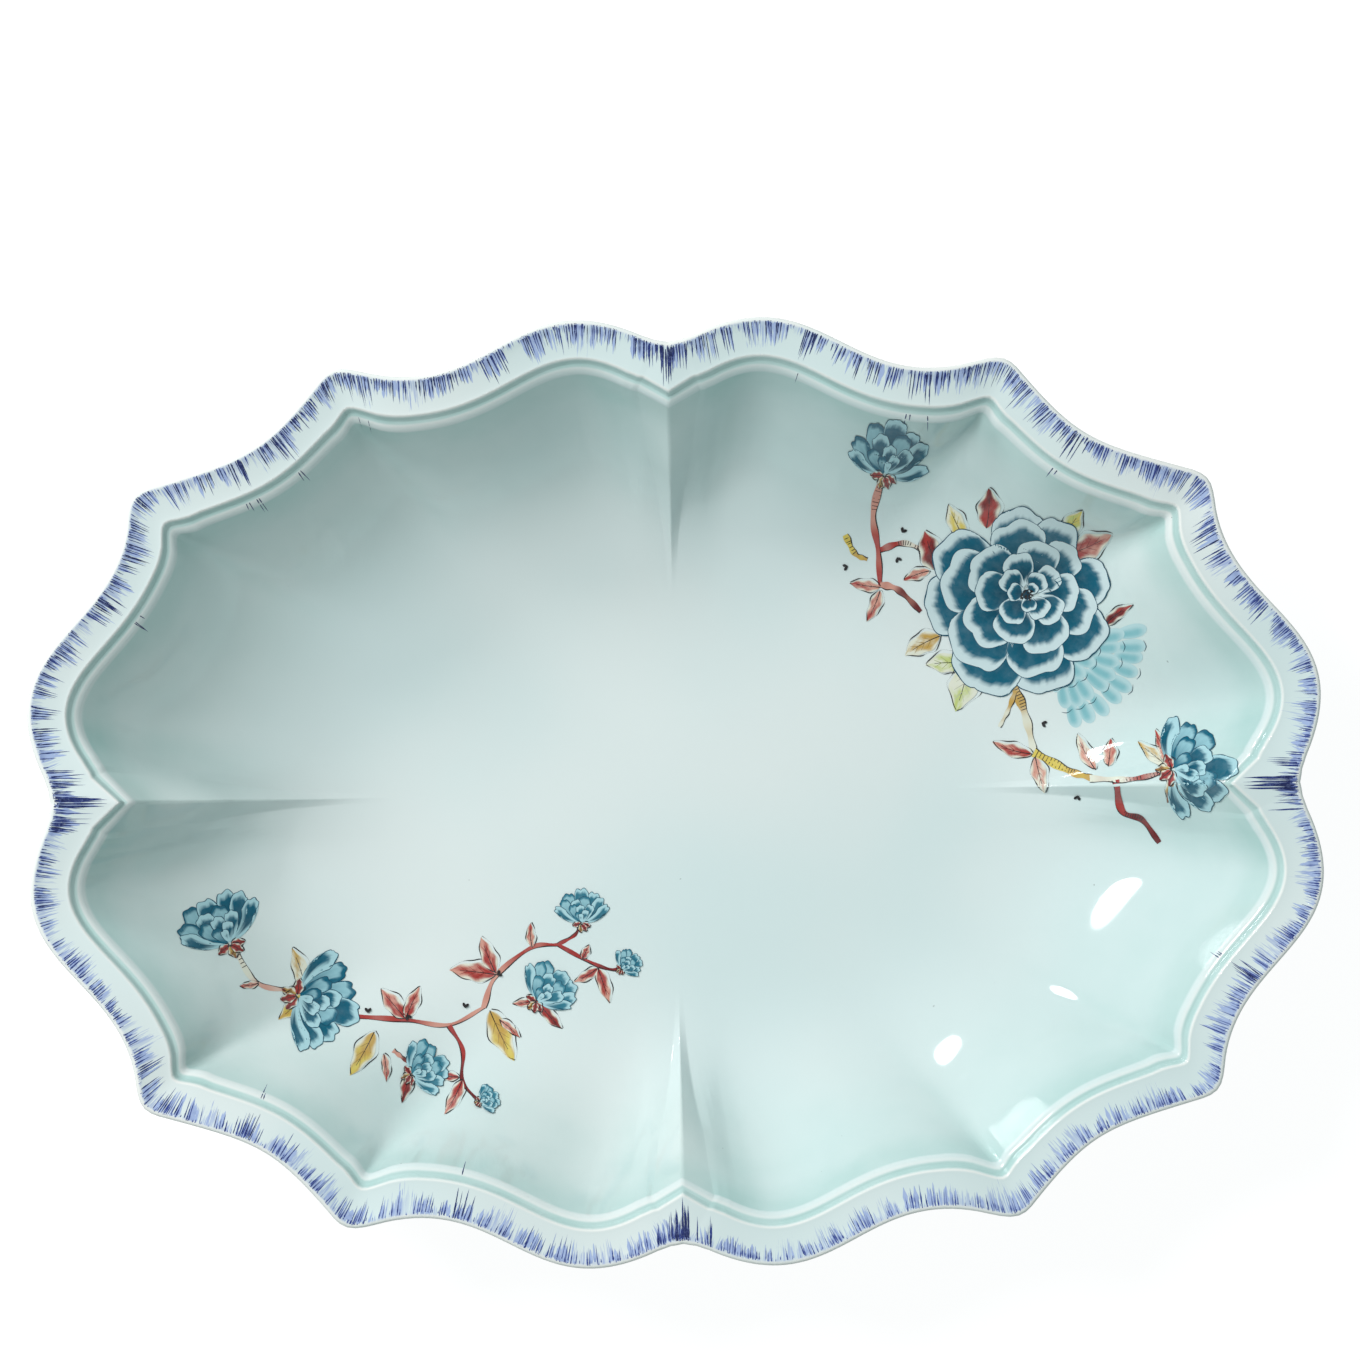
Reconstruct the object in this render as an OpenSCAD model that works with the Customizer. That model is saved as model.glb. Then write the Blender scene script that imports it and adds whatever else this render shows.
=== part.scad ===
// Fluted oval porcelain serving bowl with a moulded stepped rim, a luted foot
// ring and two fired-on flower transfers. Origin under the centre of the foot,
// +X along the length, +Z up.

/* [Overall size] */
// Length over the widest side lobes
bowl_l = 410; // [300:1:460]
// Width over the widest long-side lobes
bowl_w = 302; // [230:1:340]
// Height from the table to the lip
bowl_h = 72; // [58:1:90]

/* [Moulded rim] */
// Width of the sloping painted band round the lip
band_w = 12; // [8:0.1:14]
// Fall of the band from the lip to its inner edge
band_fall = 2.6; // [1:0.1:4]
// Width of the groove inside the band
groove_w = 2.2; // [2:0.1:4]
// Depth of the groove below the band's inner edge
groove_depth = 3.2; // [1:0.1:4]
// Extra reach of the rim mouldings at the pleats in the ends
end_pinch = 8.5; // [0:0.1:10]
// Extra reach of the rim mouldings at the pleats in the long sides
side_pinch = 2.6; // [0:0.1:6]

/* [Wall and floor] */
// Thickness of the wall, square to its face
wall_t = 4.6; // [3.6:0.1:6]
// Thickness of the floor above the foot
floor_t = 5; // [4:0.1:8]
// Inward reach of the crests running down from the pleats in the ends
end_crest = 9; // [0:0.1:12]
// Inward reach of the crests running down from the pleats in the long sides
side_crest = 7; // [0:0.1:10]
// Share of the half width taken by the flat floor
floor_share = 0.34; // [0.2:0.01:0.42]
// How quickly the wall steepens towards the rim
wall_power = 3.6; // [2.2:0.1:4.2]
// How far the flutes fade out before the floor, in lobes
flute_fade = 0.75; // [0.4:0.05:1]

/* [Foot ring] */
// Height of the foot ring
foot_h = 6; // [3:0.5:10]
// Length of the foot ring
foot_l = 196; // [160:1:214]
// Width of the foot ring
foot_w = 128; // [100:1:140]
// Thickness of the foot ring
foot_t = 5; // [3:0.5:8]

/* [Transfers] */
// Thickness of the fired-on flower transfers
transfer_t = 0.2; // [0.15:0.05:0.4]
// Clear margin round the printed colours
flux_margin = 1.15; // [0.6:0.05:1.4]

/* [Hidden] */

celadon = [0.81, 0.89, 0.88];
bare_porcelain = [0.93, 0.91, 0.87];
peony_blue = [0.12, 0.45, 0.60];
blossom_blue = [0.20, 0.52, 0.66];

half_l = bowl_l / 2;
half_w = bowl_w / 2;

// Twelve lobes' worth of edge arcs, three to a quarter
arcs = 12;
// Places worked out along each arc
places_per_arc = 36;
place_count = arcs * places_per_arc;
// Columns of facets on each arc
columns_per_arc = 12;
steps = arcs * columns_per_arc;

// A quarter of the lip, as shares of the half length and half width: from the
// long-side pleat over a lobe to the first tip, along a hollow to the second
// tip, then round the end lobe to the end pleat. Each arc is a cubic curve.
long_pleat = [0, 0.932];
first_tip = [0.518, 0.912];
second_tip = [0.838, 0.646];
end_pleat = [0.954, 0];
quarter_arcs = [
    [long_pleat, [0.254, 1.131], [0.262, 0.776], first_tip],
    [first_tip, [0.636, 0.713], [0.642, 0.723], second_tip],
    [second_tip, [0.824, 0.336], [1.104, 0.362], end_pleat]
];
// Half width of the rounding of tips and pleats, in arcs
tip_softness = 0.055;
mitre_reach = 0.16;

// Rim mouldings, from the lip inwards: [distance in from the lip, height]
band_in = band_w;
groove_out = band_w + 0.9;
groove_in = band_w + groove_w;
bead_in = groove_in + 2.1;
band_in_z = bowl_h - band_fall;
groove_z = band_in_z - groove_depth;
bead_z = groove_z - 2;
floor_z = foot_h + floor_t;
depth = bead_z - floor_z;
mean_reach = (half_l + half_w) / 2 - bead_in;

function bezier(c, t) =
    pow(1 - t, 3) * c[0] + 3 * pow(1 - t, 2) * t * c[1]
    + 3 * (1 - t) * t * t * c[2] + pow(t, 3) * c[3];

// Point on a quarter of the lip, v from 0 at the long pleat to 3 at the end one
function quarter_point(v) =
    let (arc = min(2, floor(v)))
    bezier(quarter_arcs[arc], v - arc);

// Point on the sharp lip line, u from 0 to 12 arcs anticlockwise from +X
function lip_point(u) =
    let (
        w = u - arcs * floor(u / arcs),
        quarter = floor(w / 3),
        along = w - 3 * quarter,
        p = quarter_point(quarter % 2 == 0 ? 3 - along : along),
        side_x = quarter == 0 || quarter == 3 ? half_l : -half_l,
        side_y = quarter < 2 ? half_w : -half_w
    )
    [side_x * p.x, side_y * p.y];

function inward(u) =
    let (d = lip_point(u + 0.004) - lip_point(u - 0.004))
    [-d.y, d.x] / norm(d);

function total(list) = list * [for (x = list) 1];

taps = [-2, -1, 0, 1, 2];
tap_weights = [1, 2, 3, 2, 1] / 9;

function soft_lip(u) =
    tap_weights * [for (k = taps) lip_point(u + k * tip_softness / 2)];

function smooth(low, high, x) =
    let (t = min(1, max(0, (x - low) / (high - low))))
    t * t * (3 - 2 * t);

// Distances in arcs to the nearest pleat and to the nearest outward tip
function from_pleat(u) = abs(u - 3 * round(u / 3));
function from_tip(u) =
    let (away = abs(u - round(u)))
    round(u) % 3 == 0 ? 1 - away : away;

// Mitred inward offset, longer where the edge turns, as a mitre joint is:
// sharp at the pleats and eased everywhere else
function mitre(u) =
    let (
        reach = 0.01 + (mitre_reach - 0.01) * smooth(0.03, 0.4, from_pleat(u)),
        m = tap_weights * [for (k = taps) inward(u + k * reach / 2)]
    )
    m / max(0.55, m * m);

// A peaked inward step for each place round the lip, by its distance beside the
// axis of the nearest pleat
function drawn_in(end_amount, side_amount, reach, power) = [
    for (i = [0 : place_count - 1])
        let (
            pleat = round(places[i] / 3),
            axis = [cos(90 * pleat), sin(90 * pleat)],
            amount = pleat % 2 == 0 ? end_amount : side_amount,
            p = plain_bead_line[i],
            beside = abs(p.x * axis.y - p.y * axis.x)
        )
        -amount * pow(max(0, 1 - beside / reach), power) * axis
];

places = [for (i = [0 : place_count - 1]) i / places_per_arc];
lip = [for (u = places) soft_lip(u)];
raw_mitres = [for (u = places) mitre(u)];

// Running average of a closed line, reach in places: it softens the flutes
function averaged(line, reach) =
    let (
        n = ceil(reach),
        weights = [for (k = [-n : n]) 1 + reach - abs(k)],
        sum = total(weights)
    )
    [
        for (i = [0 : place_count - 1])
            weights * [for (k = [-n : n]) line[(i + k + place_count) % place_count]] / sum
    ];

// Each point of one line moved towards the same point of another by its weight
function mixed(from, to, weights) = [
    for (i = [0 : place_count - 1]) from[i] + weights[i] * (to[i] - from[i])
];

near_tip = [for (u = places) exp(-pow(from_tip(u) / 0.3, 2))];
near_pleat = [for (u = places) exp(-pow(from_pleat(u) / 0.4, 2))];
mitres = mixed(raw_mitres, averaged(raw_mitres, 0.15 * places_per_arc), near_tip);
plain_bead_line = lip + bead_in * mitres;
pinches = drawn_in(end_pinch, side_pinch, 28, 2.4);
crests = drawn_in(end_crest, side_crest, 18, 1.6);

// The lip line moved inwards by d
function rim_line(d) = lip + d * mitres + min(1, d / band_w) * pinches;

bead_line = rim_line(bead_in);

// Plan line of the wall at share r of the way from the centre to the bead: the
// flutes fade towards the floor and the pleats run down the wall as crests
function wall_line(r) =
    let (
        reach = flute_fade * places_per_arc * pow(1 - r, 1.2),
        soft = averaged(bead_line, reach + 0.15 * places_per_arc * smooth(0, 0.12, 1 - r)),
        sharp = averaged(bead_line, reach * min(1, 0.05 + 1.1 * (1 - r))),
        crest = smooth(0, 0.12, 1 - r) * smooth(0.45, 0.8, r)
    )
    r * mixed(soft, sharp, near_pleat) + crest * crests;

// How far up the wall a point is, and how steep, at share r
function rise(r) = max(0, (r - floor_share) / (1 - floor_share));
function inner_z(r) = floor_z + depth * pow(rise(r), wall_power);
function slope(r) =
    wall_power * depth * pow(rise(r), wall_power - 1)
    / ((1 - floor_share) * mean_reach);

// The underside is flat as far as the foot, then runs parallel to the inside
foot_share = 0.58;
function outer_z(r) =
    let (parallel = inner_z(r) - wall_t * sqrt(1 + pow(slope(r), 2)))
    foot_h + (parallel - foot_h) * smooth(foot_share, foot_share + 0.18, r);

// Where the columns stand: even on the middle arcs, closer and closer together
// towards a pleat on the others
to_pleat = [0, 0.02, 0.045, 0.08, 0.13, 0.2, 0.29, 0.4, 0.52, 0.64, 0.76, 0.88, 1];
columns = [
    for (arc = [0 : arcs - 1], k = [0 : columns_per_arc - 1])
        arc % 3 == 0 ? arc + to_pleat[k]
        : arc % 3 == 1 ? arc + k / columns_per_arc
        : arc + 1 - to_pleat[columns_per_arc - k]
];

// A closed line of places taken at the columns and lifted to one height
function at_height(line, z) = [
    for (u = columns)
        let (
            x = u * places_per_arc,
            i = floor(x),
            a = line[i % place_count],
            b = line[(i + 1) % place_count],
            p = a + (x - i) * (b - a)
        )
        [p.x, p.y, z]
];

wall_shares = [
    0.14, 0.28, 0.38, 0.47, 0.55, 0.62, 0.69, 0.755, 0.815, 0.87, 0.92, 0.965, 1
];
outer_shares = [
    0.995, 0.95, 0.9, 0.84, 0.78, 0.73, 0.68, 0.63, 0.59, 0.5, 0.3
];
rim_profile = [
    [bead_in - 0.7, bead_z + 1],
    [groove_in - 0.1, groove_z],
    [groove_out + 0.1, groove_z + 0.9],
    [band_in + 0.2, band_in_z - 0.4],
    [band_in - 0.5, band_in_z],
    [band_w * 0.7, band_in_z + band_fall * 0.22],
    [band_w * 0.35, band_in_z + band_fall * 0.62],
    [1.2, bowl_h],
    [0.35, bowl_h - 0.5],
    [0, bowl_h - 1.7],
    [0.5, bowl_h - 3.4],
    [2.4, bowl_h - 4.9],
    [band_w * 0.6, bowl_h - band_fall - wall_t + 0.6],
    [band_w, band_in_z - wall_t - 2],
    [groove_in, outer_z(1) + 2.6]
];

inner_rings = [for (r = wall_shares) at_height(wall_line(r), inner_z(r))];
rim_rings = [for (p = rim_profile) at_height(rim_line(p[0]), p[1])];
outer_rings = [for (r = outer_shares) at_height(wall_line(r), outer_z(r))];

// Closed solid through a stack of rings, capped by a fan at each end. Every
// four-sided facet is split along its shorter diagonal, so two walls made from
// the same rings have the same facets whichever way round they run
module ring_solid(rings, first_centre, last_centre) {
    count = len(rings);
    flat_points = [for (ring = rings) each ring];
    points = concat(flat_points, [first_centre, last_centre]);
    walls = [
        for (j = [0 : count - 2], i = [0 : steps - 1])
            let (
                a = j * steps + i,
                b = j * steps + (i + 1) % steps,
                c = b + steps,
                d = a + steps
            )
            each norm(points[a] - points[c]) < norm(points[b] - points[d])
                ? [[a, b, c], [a, c, d]]
                : [[a, b, d], [b, c, d]]
    ];
    first_fan = [
        for (i = [0 : steps - 1]) [len(flat_points), (i + 1) % steps, i]
    ];
    last_fan = [
        for (i = [0 : steps - 1])
            let (base = (count - 1) * steps)
            [len(flat_points) + 1, base + i, base + (i + 1) % steps]
    ];
    polyhedron(points, concat(walls, first_fan, last_fan), convexity = 10);
}

module bowl_body() {
    color(celadon)
        ring_solid(
            concat(inner_rings, rim_rings, outer_rings),
            [0, 0, floor_z],
            [0, 0, foot_h]
        );
}

module oval(l, w) {
    polygon([for (a = [0 : 5 : 355]) [l / 2 * cos(a), w / 2 * sin(a)]]);
}

module foot_ring() {
    color(bare_porcelain)
        linear_extrude(foot_h)
            difference() {
                oval(foot_l, foot_w);
                oval(foot_l - 2 * foot_t, foot_w - 2 * foot_t);
            }
}

// Skin of even height lying on the inside of the wall, facet for facet
module inner_skin() {
    lift = [0, 0, transfer_t];
    over = [for (ring = inner_rings) [for (p = ring) p + lift]];
    under = [for (j = [len(inner_rings) - 1 : -1 : 0]) inner_rings[j]];
    ring_solid(concat(over, under), [0, 0, floor_z] + lift, [0, 0, floor_z]);
}

// Cuts the skin to a flat pattern seen from straight above, with the narrow
// margin of clear flux that a printed transfer keeps round its colours
module transfer() {
    intersection() {
        inner_skin();
        linear_extrude(bowl_h + 1)
            offset(delta = flux_margin)
                children();
    }
}

// Petal with a round lobed end, growing along +X from the origin
module petal(length, width) {
    for (side = [-1, 1])
        translate([length - width * 0.36, side * width * 0.2])
            circle(d = width * 0.62, $fn = 10);
    polygon([
        [0, -width * 0.1],
        [length * 0.7, -width * 0.48],
        [length * 0.7, width * 0.48],
        [0, width * 0.1]
    ]);
}

module leaf(length, width) {
    scale([length, width])
        polygon([for (t = [0 : 30 : 330]) [(1 - cos(t)) / 2, sin(t) / 2 * sin(t / 2)]]);
}

module twig(points, width) {
    for (i = [0 : len(points) - 2])
        hull() {
            translate(points[i]) circle(d = width, $fn = 8);
            translate(points[i + 1]) circle(d = width, $fn = 8);
        }
}

// Side view of an opening flower, petals fanned about +X
module side_blossom(length) {
    for (a = [-58 : 29 : 58])
        rotate(a)
            petal(length * (1 - abs(a) / 400), length * 0.46);
}

module at(x, y, turn) {
    translate([x, y])
        rotate(turn)
            children();
}

module peony_spray() {
    at(110, 60, 0) {
        circle(d = 44, $fn = 36);
        for (a = [0 : 36 : 324])
            rotate(a)
                translate([10, 0])
                    petal(20, 19);
    }
    at(124, 38, -42)
        side_blossom(22);
    at(67.5, 100, 62)
        side_blossom(18);
    at(160.5, 2, 8)
        side_blossom(21);
    twig([[67.5, 100], [64.5, 88], [67, 76.5], [67, 65], [86, 58]], 2.2);
    twig([[67, 76.5], [80, 77], [88, 72]], 2);
    twig([[108.9, 32], [112.9, 23.4], [116.5, 10.6], [126.9, 4.7], [142.4, 1.6], [162, 2.9]], 2.4);
    twig([[141, 2], [143.1, -8.2], [149.4, -11.2], [154.7, -18.6]], 2);
    at(67, 65, 176) leaf(10, 4);
    at(67, 65, -118) leaf(11, 4);
    at(85, 72, 108) leaf(13, 7);
    at(93, 79, 112) leaf(13, 6);
    at(100, 82, 88) leaf(13, 7);
    at(124, 78, 58) leaf(11, 6);
    at(127, 74, 24) leaf(14, 8);
    at(134, 51, 36) leaf(13, 4);
    at(86, 50, 198) leaf(14, 7);
    at(94, 42, 184) leaf(14, 6);
    at(95, 42, -102) leaf(19, 9);
    at(116, 10, 168) leaf(14, 4.5);
    at(116, 10, -76) leaf(11, 5);
    at(138, 4, 112) leaf(11, 5);
    at(162, 4, 128) leaf(13, 4.5);
}

module blossom_spray() {
    at(-143, -46, 122)
        side_blossom(19);
    at(-121, -62, -8)
        side_blossom(23);
    at(-31, -41, 76)
        side_blossom(12);
    at(-21.5, -57, 32)
        side_blossom(7);
    at(-44, -66, 56)
        side_blossom(14);
    at(-86, -87, 26)
        side_blossom(13);
    at(-66.5, -98.5, 18)
        side_blossom(7);
    twig([[-143, -47], [-134.8, -58.6], [-120, -62]], 2);
    twig([[-112, -66], [-103, -70.5], [-87.4, -71.5], [-74.1, -73.3], [-62.6, -67.8]], 2);
    twig([[-62.6, -67.8], [-58.9, -58], [-47.3, -49], [-38.8, -48.2], [-21.5, -57]], 2);
    twig([[-38.8, -48.2], [-31, -41]], 1.6);
    twig([[-62.6, -67.8], [-54, -70], [-44, -66]], 1.6);
    twig([[-103, -70.5], [-97, -77], [-86, -87]], 1.6);
    twig([[-74.1, -73.3], [-69.8, -82], [-70, -92], [-66.5, -98.5]], 1.8);
    at(-121, -61, 112) leaf(15, 5);
    at(-121, -61, -128) leaf(13, 5);
    at(-88, -71, 128) leaf(12, 5);
    at(-88, -71, 68) leaf(11, 4);
    at(-59, -58, 168) leaf(15, 6);
    at(-59, -58, 108) leaf(12, 4.5);
    at(-96, -76, -122) leaf(16, 7);
    at(-60, -68, -68) leaf(18, 7);
    at(-26, -56, -66) leaf(12, 4);
    at(-70, -90, -116) leaf(12, 4);
}

module peony_spray_transfer() {
    color(peony_blue)
        transfer()
            peony_spray();
}

module blossom_spray_transfer() {
    color(blossom_blue)
        transfer()
            blossom_spray();
}

bowl_body();
foot_ring();
peony_spray_transfer();
blossom_spray_transfer();
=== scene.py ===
from math import cos, pi, radians, sin

import bpy
import numpy as np
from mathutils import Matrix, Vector
from mathutils.bvhtree import BVHTree


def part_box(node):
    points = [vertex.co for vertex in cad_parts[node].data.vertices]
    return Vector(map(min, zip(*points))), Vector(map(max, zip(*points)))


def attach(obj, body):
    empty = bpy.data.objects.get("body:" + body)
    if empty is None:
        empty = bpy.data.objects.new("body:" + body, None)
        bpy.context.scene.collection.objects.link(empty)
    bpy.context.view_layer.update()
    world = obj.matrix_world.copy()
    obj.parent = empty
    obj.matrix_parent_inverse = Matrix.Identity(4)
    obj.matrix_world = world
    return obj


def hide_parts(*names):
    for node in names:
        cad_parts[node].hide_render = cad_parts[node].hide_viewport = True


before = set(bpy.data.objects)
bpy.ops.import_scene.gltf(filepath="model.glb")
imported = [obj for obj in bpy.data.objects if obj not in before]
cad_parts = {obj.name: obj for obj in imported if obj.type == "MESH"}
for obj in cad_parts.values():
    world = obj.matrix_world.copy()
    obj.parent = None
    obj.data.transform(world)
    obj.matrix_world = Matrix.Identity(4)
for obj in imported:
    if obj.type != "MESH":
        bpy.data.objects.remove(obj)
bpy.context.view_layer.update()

MM = 0.001
rng = np.random.default_rng(41)


# ---------------------------------------------------------------- bowl surface
# The same lip, mitre and wall formulas as the CAD model, in millimetres, on a
# finer grid: u runs round the bowl in arcs (0 to 12), d inwards from the lip.

HALF = np.array([204.93, 150.9])
ARCS = 12
LIP_ARCS = np.array([
    [[0, 0.932], [0.254, 1.131], [0.262, 0.776], [0.518, 0.912]],
    [[0.518, 0.912], [0.636, 0.713], [0.642, 0.723], [0.838, 0.646]],
    [[0.838, 0.646], [0.824, 0.336], [1.104, 0.362], [0.954, 0]],
])
TAPS = (-2, -1, 0, 1, 2)
TAP_WEIGHTS = np.array([1, 2, 3, 2, 1]) / 9
TIP_SOFTNESS = 0.055
MITRE_REACH = 0.16
END_PINCH = 8.5
SIDE_PINCH = 2.6
PINCH_REACH = 28.0
END_CREST = 9.0
SIDE_CREST = 7.0
CREST_REACH = 18.0

HEIGHT = 72.0
BAND = 12.0
BAND_Z = HEIGHT - 2.6
GROOVE_OUT = BAND + 0.9
GROOVE_IN = BAND + 2.2
BEAD = GROOVE_IN + 2.1
GROOVE_Z = BAND_Z - 3.2
BEAD_Z = GROOVE_Z - 2.0
FOOT_H = 6.0
FLOOR_Z = FOOT_H + 5.0
DEPTH = BEAD_Z - FLOOR_Z
FLOOR_SHARE = 0.34
WALL_POWER = 3.6
WALL_T = 4.6
FLUTE_FADE = 0.75
MEAN_REACH = HALF.mean() - BEAD

# Rays that find the surface start above the bowl and point down
ABOVE = 200.0
DOWN = Vector((0, 0, -1))

COLS_PER_ARC = 72
COLS = ARCS * COLS_PER_ARC
U = np.arange(COLS) / COLS_PER_ARC
# The finished grid has the same number of columns, crowded together at the pleats
GRID_U = U - 0.9 * 3 / (2 * pi) * np.sin(2 * pi * U / 3)


def smooth(low, high, x):
    t = np.clip((np.asarray(x, float) - low) / (high - low), 0, 1)
    return t * t * (3 - 2 * t)


def cross2(a, b):
    """Cross product of vectors that lie in the plan."""
    return a[..., 0] * b[..., 1] - a[..., 1] * b[..., 0]


def lip_point(u):
    """The lip as Bezier arcs, drawn for one quarter and mirrored to the others."""
    w = np.mod(u, ARCS)
    quarter = np.minimum(np.floor(w / 3), 3)
    along = w - 3 * quarter
    v = np.where(quarter % 2 == 0, 3 - along, along)
    arc = np.minimum(np.floor(v), 2).astype(int)
    t = (v - arc)[..., None]
    c = LIP_ARCS[arc]
    p = (
        (1 - t) ** 3 * c[..., 0, :] + 3 * (1 - t) ** 2 * t * c[..., 1, :]
        + 3 * (1 - t) * t * t * c[..., 2, :] + t ** 3 * c[..., 3, :]
    )
    side_x = np.where((quarter == 0) | (quarter == 3), 1, -1)
    side_y = np.where(quarter < 2, 1, -1)
    return p * np.stack([side_x, side_y], -1) * HALF


def inward(u):
    d = lip_point(u + 0.004) - lip_point(u - 0.004)
    n = np.stack([-d[..., 1], d[..., 0]], -1)
    return n / np.linalg.norm(n, axis=-1, keepdims=True)


def soft_lip(u):
    return sum(w * lip_point(u + k * TIP_SOFTNESS / 2) for k, w in zip(TAPS, TAP_WEIGHTS))


def from_pleat(u):
    return np.abs(u - 3 * np.round(u / 3))


def from_tip(u):
    """Distance in arcs to the nearest of the eight outward tips."""
    nearest = np.round(u)
    away = np.abs(u - nearest)
    return np.where(nearest % 3 == 0, 1 - away, away)


def mitre(u):
    """Inward step of one millimetre of moulding: sharp at the pleats, eased elsewhere."""
    reach = 0.01 + (MITRE_REACH - 0.01) * smooth(0.03, 0.4, from_pleat(u))
    m = sum(w * inward(u + k * reach / 2) for k, w in zip(TAPS, TAP_WEIGHTS))
    return m / np.maximum(0.55, (m * m).sum(-1, keepdims=True))


def pleat_axis(u):
    """Unit step from the nearest pleat straight towards the centre of the bowl."""
    turn = np.round(u / 3) * pi / 2
    return np.stack([-np.cos(turn), -np.sin(turn)], -1)


def drawn_in(beside, end_amount, side_amount, reach, power):
    """A peaked inward step, by the distance in mm from the axis of the nearest pleat."""
    amount = np.where(np.round(U / 3) % 2 == 0, end_amount, side_amount)
    amount = amount * np.maximum(0, 1 - beside / reach) ** power
    return amount[:, None] * pleat_axis(U)


def averaged(line, reach):
    """Running average of a closed line, reach in columns."""
    n = int(np.ceil(reach))
    taps = np.arange(-n, n + 1)
    weights = 1 + reach - np.abs(taps)
    weights = weights / weights.sum()
    return sum(w * np.roll(line, -k, axis=0) for w, k in zip(weights, taps))


LIP = soft_lip(U)
RAW_MITRE = mitre(U)
NEAR_TIP = np.exp(-(from_tip(U) / 0.3) ** 2)[:, None]
NEAR_PLEAT = np.exp(-(from_pleat(U) / 0.4) ** 2)[:, None]
MITRE = RAW_MITRE + NEAR_TIP * (averaged(RAW_MITRE, 0.15 * COLS_PER_ARC) - RAW_MITRE)
AXIS = pleat_axis(U)
BESIDE = np.abs(cross2(LIP + BEAD * MITRE, AXIS))
PINCH = drawn_in(BESIDE, END_PINCH, SIDE_PINCH, PINCH_REACH, 2.4)
CREST = drawn_in(BESIDE, END_CREST, SIDE_CREST, CREST_REACH, 1.6)


def rim_line(d):
    return LIP + d * MITRE + min(1, d / BAND) * PINCH


BEAD_LINE = rim_line(BEAD)


def wall_line(r):
    """The flutes fade towards the floor; the pleats run down the wall as crests."""
    reach = FLUTE_FADE * COLS_PER_ARC * (1 - r) ** 1.2
    soft = averaged(BEAD_LINE, reach + 0.15 * COLS_PER_ARC * smooth(0, 0.12, 1 - r))
    sharp = averaged(BEAD_LINE, reach * min(1, 0.05 + 1.1 * (1 - r)))
    crest = smooth(1.0, 0.88, r) * smooth(0.45, 0.8, r) * CREST
    return r * (soft + NEAR_PLEAT * (sharp - soft)) + crest


def rise(r):
    return np.maximum(0, (r - FLOOR_SHARE) / (1 - FLOOR_SHARE))


def inner_z(r):
    return FLOOR_Z + DEPTH * rise(r) ** WALL_POWER


def outer_z(r):
    slope = WALL_POWER * DEPTH * rise(r) ** (WALL_POWER - 1) / ((1 - FLOOR_SHARE) * MEAN_REACH)
    parallel = inner_z(r) - WALL_T * np.sqrt(1 + slope ** 2)
    return FOOT_H + (parallel - FOOT_H) * smooth(0.58, 0.76, r)


# Rim mouldings from the bead out over the lip and back under it: [d, z]
RIM_PROFILE = np.array([
    [BEAD + 0.15, BEAD_Z - 0.27],
    [BEAD - 0.3, BEAD_Z + 0.5],
    [BEAD - 0.9, BEAD_Z + 1.2],
    [BEAD - 1.5, BEAD_Z + 1.7],
    [GROOVE_IN - 0.1, GROOVE_Z],
    [GROOVE_IN - 0.7, GROOVE_Z + 0.15],
    [GROOVE_OUT + 0.1, GROOVE_Z + 0.9],
    [GROOVE_OUT - 0.3, BAND_Z - 1.3],
    [BAND + 0.2, BAND_Z - 0.45],
    [BAND - 0.3, BAND_Z + 0.02],
    [BAND - 1.1, BAND_Z + 0.06],
    [BAND * 0.7, BAND_Z + 0.5],
    [BAND * 0.35, BAND_Z + 1.5],
    [2.0, HEIGHT - 0.25],
    [1.1, HEIGHT],
    [0.25, HEIGHT - 0.3],
    [0.0, HEIGHT - 1.6],
    [0.5, HEIGHT - 3.3],
    [2.4, HEIGHT - 4.8],
    [BAND * 0.6, HEIGHT - 6.4],
    [BAND, BAND_Z - 6.6],
    [GROOVE_IN, outer_z(1) + 2.6],
    [BEAD + 0.3, outer_z(1) + 0.6],
])


def rounded(points, times):
    """Cuts the corners of an open polyline, keeping its ends."""
    for _ in range(times):
        a, b = points[:-1], points[1:]
        cut = np.stack([0.75 * a + 0.25 * b, 0.25 * a + 0.75 * b], 1).reshape(-1, 2)
        points = np.concatenate([points[:1], cut[1:-1], points[-1:]])
    return points


def on_grid(line):
    """A closed line moved to the crowded columns of the finished grid."""
    closed = np.concatenate([line, line[:1]])
    columns = np.arange(COLS + 1) / COLS_PER_ARC
    u = np.mod(GRID_U, ARCS)
    return np.column_stack([np.interp(u, columns, closed[:, k]) for k in (0, 1)])


def raised(line, z):
    return np.column_stack([on_grid(line), np.full(len(line), z)])


def bowl_rings():
    """Rings of the whole surface, with each ring's zone, d and wall share r."""
    rings, facts = [], []
    for r in np.concatenate([np.linspace(0.02, 0.2, 4), np.linspace(0.26, 0.995, 42)]):
        rings.append(raised(wall_line(r), inner_z(r)))
        facts.append(("inside", BEAD + (1 - r) * 150, r))
    for d, z in rounded(RIM_PROFILE, 2):
        rings.append(raised(rim_line(d), z))
        facts.append(("rim", d, 1.0))
    for r in np.concatenate([np.linspace(0.985, 0.5, 18), [0.4, 0.25, 0.1, 0.02]]):
        rings.append(raised(wall_line(r), outer_z(r)))
        facts.append(("under", 0.0, r))
    lip_row = int(np.argmin([abs(d) if zone == "rim" else BEAD for zone, d, _ in facts]))
    facts[lip_row + 4:] = [("under", d, r) for _, d, r in facts[lip_row + 4:]]
    return np.array(rings), facts


def grid_normals(rings):
    """Smooth normals of the closed ring grid, pointing out of the porcelain."""
    across = np.gradient(rings, axis=0)
    around = np.roll(rings, -1, axis=1) - np.roll(rings, 1, axis=1)
    n = np.cross(across, around)
    n /= np.maximum(1e-9, np.linalg.norm(n, axis=-1, keepdims=True))
    return n


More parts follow.
